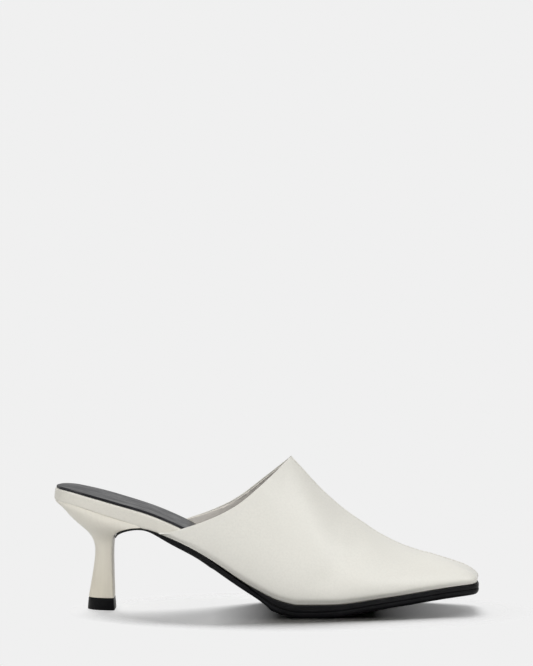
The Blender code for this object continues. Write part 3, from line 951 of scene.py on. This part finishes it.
class MULE_OT_soles(Operator):
    """Models the outsole and the midsole"""

    bl_idname = "mule.soles"
    bl_label = "Soles"

    def execute(self, context):
        outsole = copy_of("outsole", "outsole_rubber")
        edit(outsole)
        pick(
            outsole,
            "verts",
            lambda v: v.normal.z < -SOLE_DOWNWARD and SOLE_BACK < v.co.x < SOLE_FRONT,
        )
        pull((0.0, 0.0, -SOLE_DROP), SOLE_REACH)
        close()
        round_edges(outsole, sizes().sole_round, SOLE_ANGLE)
        finish = sole_finish("black_sole", toned(colours().sole, 0.7), 0.40, 0.18)
        hand_over(outsole, finish, "sole_black", "outsole")
        midsole = copy_of("midsole", "midsole_layer")
        move_under(midsole, SEAM_CLOSE)
        round_edges(midsole, sizes().sole_round, SOLE_ANGLE)
        finish = sole_finish("black_midsole", toned(colours().sole, 0.7), 0.40, 0.22)
        hand_over(midsole, finish, "midsole_black", "midsole")
        return {"FINISHED"}


# The stage

# The tone of the backdrop, and of the floor as it is seen and as it lights the shoe.
BACKDROP = 0.871
FLOOR_TONE = (0.86, 0.86, 0.86)
FLOOR_BOUNCE = (0.74, 0.74, 0.73)
FLOOR_RADIUS = 0.6

# The floor fades into the backdrop for the camera outside an ellipse, and partly under the arch
# and the toe. This is painted light: the ellipse cuts off the shoe's shadow and the rest makes it
# paler.
SHADOW_CENTRE = (20 * MM, -10 * MM, 0.0)
SHADOW_REACH = (102 * MM, 60 * MM, 1.0)
FLOOR_FADE = (0.72, 1.30)
ARCH_PAINTED_LIGHT = 0.50
ARCH_PLACE = (-30 * MM, 8 * MM)
TOE_PAINTED_LIGHT = 0.30
TOE_PLACE = (60 * MM, 112 * MM)

# The light of the surroundings.
WORLD_LIGHTS = (
    # axis, start and end of its edge as cosines, strength
    ((0.0, 1.0, 0.0), 0.3, 0.8, 0.66),
    ((0.0, 0.0, -1.0), 0.35, 0.70, 0.6),
)

# The soft lights of the shoe, which leave the floor out, and that of the floor alone.
SHOE_LIGHTS = (
    # name, side turn, height, strength, softness in degrees, whether it leaves a highlight
    ("left_key", -60, 45, 0.60, 30, True),
    ("right_key", 60, 45, 0.50, 30, True),
    ("side_fill", -60, 15, 0.34, 30, False),
    ("left_fill", -20, 15, 0.42, 30, False),
    ("right_fill", 20, 15, 0.87, 30, False),
    ("back_light", 180, 45, 0.40, 30, False),
    ("top_light", 0, 86, 1.40, 80, False),
)
FLOOR_LIGHTS = (("floor_light", 180, 45, 3.75, 28, False),)

CAMERA_PLACE = (0.00055, -1.5, 0.217)
CAMERA_PITCH = math.radians(2.325)
CAMERA_LENS = 143.78
CAMERA_SENSOR = 36.0


def studio_world():
    """Makes the light that comes from behind and from below, with a plain backdrop."""
    world = bpy.data.worlds.new("studio")
    bpy.context.scene.world = world
    world.use_nodes = True
    tree = world.node_tree
    nodes, links = tree.nodes, tree.links
    light = nodes["Background"]
    place = nodes.new("ShaderNodeTexCoord").outputs["Generated"]
    total = None
    for axis, start, end, strength in WORLD_LIGHTS:
        facing = nodes.new("ShaderNodeVectorMath")
        facing.operation = "DOT_PRODUCT"
        facing.inputs[1].default_value = axis
        links.new(place, facing.inputs[0])
        shade = nodes.new("ShaderNodeMapRange")
        shade.interpolation_type = "SMOOTHSTEP"
        shade.inputs["From Min"].default_value = start
        shade.inputs["From Max"].default_value = end
        shade.inputs["To Max"].default_value = strength
        links.new(facing.outputs["Value"], shade.inputs["Value"])
        if total:
            add = nodes.new("ShaderNodeMath")
            links.new(total, add.inputs[0])
            links.new(shade.outputs["Result"], add.inputs[1])
            total = add.outputs["Value"]
        else:
            total = shade.outputs["Result"]
    links.new(total, light.inputs["Strength"])
    light.inputs["Color"].default_value = (1.0, 1.0, 1.0, 1.0)
    seen = nodes.new("ShaderNodeBackground")
    seen.inputs["Color"].default_value = (BACKDROP, BACKDROP, BACKDROP, 1.0)
    path = nodes.new("ShaderNodeLightPath")
    mix = nodes.new("ShaderNodeMixShader")
    links.new(path.outputs["Is Camera Ray"], mix.inputs["Fac"])
    links.new(light.outputs["Background"], mix.inputs[1])
    links.new(seen.outputs["Background"], mix.inputs[2])
    links.new(mix.outputs["Shader"], nodes["World Output"].inputs["Surface"])


def add_light(name, turn, height, strength, softness, is_glossy):
    """Adds a soft light from a side turn, 0 being the camera's, and a height."""
    turn, height = math.radians(turn), math.radians(height)
    bpy.ops.object.light_add(type="SUN", rotation=(math.pi / 2 - height, 0.0, turn))
    lamp = bpy.context.object
    lamp.name = name
    lamp.data.energy = strength
    lamp.data.angle = math.radians(softness)
    lamp.visible_glossy = is_glossy
    return lamp


def floor_finish():
    """Makes a pale floor that fades into the backdrop away from the shoe.

    Its fade is painted light, which cuts off the shoe's shadow and makes it paler in places.
    """
    finish = Finish("pale_floor")
    tree = finish.tree
    tree.nodes.remove(finish.shader)
    surface = finish.add("ShaderNodeBsdfDiffuse")
    path = finish.add("ShaderNodeLightPath")
    tone = finish.blend(path.outputs["Is Camera Ray"], FLOOR_BOUNCE, FLOOR_TONE)
    finish.link(tone, surface.inputs["Color"])
    clear = finish.add("ShaderNodeBsdfTransparent")
    # Painted light: outside the ellipse the camera sees the backdrop in place of the shoe's
    # shadow.
    reach = finish.add("ShaderNodeVectorMath", operation="LENGTH")
    finish.link(finish.scaled(SHADOW_CENTRE, SHADOW_REACH), reach.inputs[0])
    fade = finish.spread(reach.outputs["Value"], 0.0, 1.0, *FLOOR_FADE)
    along = finish.add("ShaderNodeSeparateXYZ")
    finish.link(finish.place, along.inputs["Vector"])
    # Painted light: under the arch and the toe the camera partly sees the backdrop, so the shadow
    # there is paler.
    arch = finish.spread(along.outputs["X"], ARCH_PAINTED_LIGHT, 0.0, *ARCH_PLACE)
    toe = finish.spread(along.outputs["X"], 0.0, TOE_PAINTED_LIGHT, *TOE_PLACE)
    ends = finish.add("ShaderNodeMath", operation="MAXIMUM")
    finish.link(arch, ends.inputs[0])
    finish.link(toe, ends.inputs[1])
    most = finish.add("ShaderNodeMath", operation="MAXIMUM")
    finish.link(fade, most.inputs[0])
    finish.link(ends.outputs["Value"], most.inputs[1])
    seen = finish.add("ShaderNodeMath", operation="MULTIPLY")
    finish.link(most.outputs["Value"], seen.inputs[0])
    finish.link(path.outputs["Is Camera Ray"], seen.inputs[1])
    mix = finish.add("ShaderNodeMixShader")
    finish.link(seen.outputs["Value"], mix.inputs["Fac"])
    finish.link(surface.outputs["BSDF"], mix.inputs[1])
    finish.link(clear.outputs["BSDF"], mix.inputs[2])
    finish.link(mix.outputs["Shader"], tree.nodes["Material Output"].inputs["Surface"])
    return finish.material


class MULE_OT_stage(Operator):
    """Sets the floor, the soft light and the camera"""

    bl_idname = "mule.stage"
    bl_label = "Stage"

    def execute(self, context):
        bpy.ops.mesh.primitive_circle_add(vertices=96, radius=FLOOR_RADIUS, fill_type="NGON")
        floor = context.object
        floor.name = "floor"
        floor.data.materials.append(floor_finish())
        studio_world()
        for name, state, lights in (
            ("all_but_floor", "EXCLUDE", SHOE_LIGHTS),
            ("floor_only", "INCLUDE", FLOOR_LIGHTS),
        ):
            reach = bpy.data.collections.new(name)
            reach.objects.link(floor)
            reach.collection_objects[0].light_linking.link_state = state
            for light in lights:
                add_light(*light).light_linking.receiver_collection = reach
        bpy.ops.object.camera_add(
            location=CAMERA_PLACE, rotation=(math.pi / 2 - CAMERA_PITCH, 0.0, 0.0)
        )
        camera = context.object
        camera.data.lens = CAMERA_LENS
        camera.data.sensor_width = CAMERA_SENSOR
        context.scene.camera = camera
        context.scene.view_settings.view_transform = "Standard"
        return {"FINISHED"}


class MULE_PT_pieces(Panel):
    """Lists the shoe's pieces, sizes and colours"""

    bl_idname = "MULE_PT_pieces"
    bl_label = "Mule Shoe"
    bl_space_type = "VIEW_3D"
    bl_region_type = "UI"
    bl_category = "Mule Shoe"

    def draw(self, context):
        layout = self.layout
        for step in STEPS:
            layout.operator(step.bl_idname)
        for group in (context.scene.mule_sizes, context.scene.mule_colours):
            box = layout.box()
            for name in group.__annotations__:
                box.prop(group, name)


STEPS = (
    MULE_OT_upper,
    MULE_OT_lining,
    MULE_OT_rand,
    MULE_OT_sock,
    MULE_OT_heel,
    MULE_OT_soles,
    MULE_OT_stage,
)
CLASSES = (MULE_PG_sizes, MULE_PG_colours, *STEPS, MULE_PT_pieces)


def register():
    """Adds the shoe's classes and settings to Blender."""
    for item in CLASSES:
        bpy.utils.register_class(item)
    bpy.types.Scene.mule_sizes = PointerProperty(type=MULE_PG_sizes)
    bpy.types.Scene.mule_colours = PointerProperty(type=MULE_PG_colours)


def unregister():
    """Takes the shoe's classes and settings out of Blender."""
    del bpy.types.Scene.mule_colours
    del bpy.types.Scene.mule_sizes
    for item in reversed(CLASSES):
        bpy.utils.unregister_class(item)


def main():
    """Builds the whole shoe."""
    register()
    for step in STEPS:
        area, name = step.bl_idname.split(".")
        getattr(getattr(bpy.ops, area), name)()


if __name__ == "__main__":
    main()
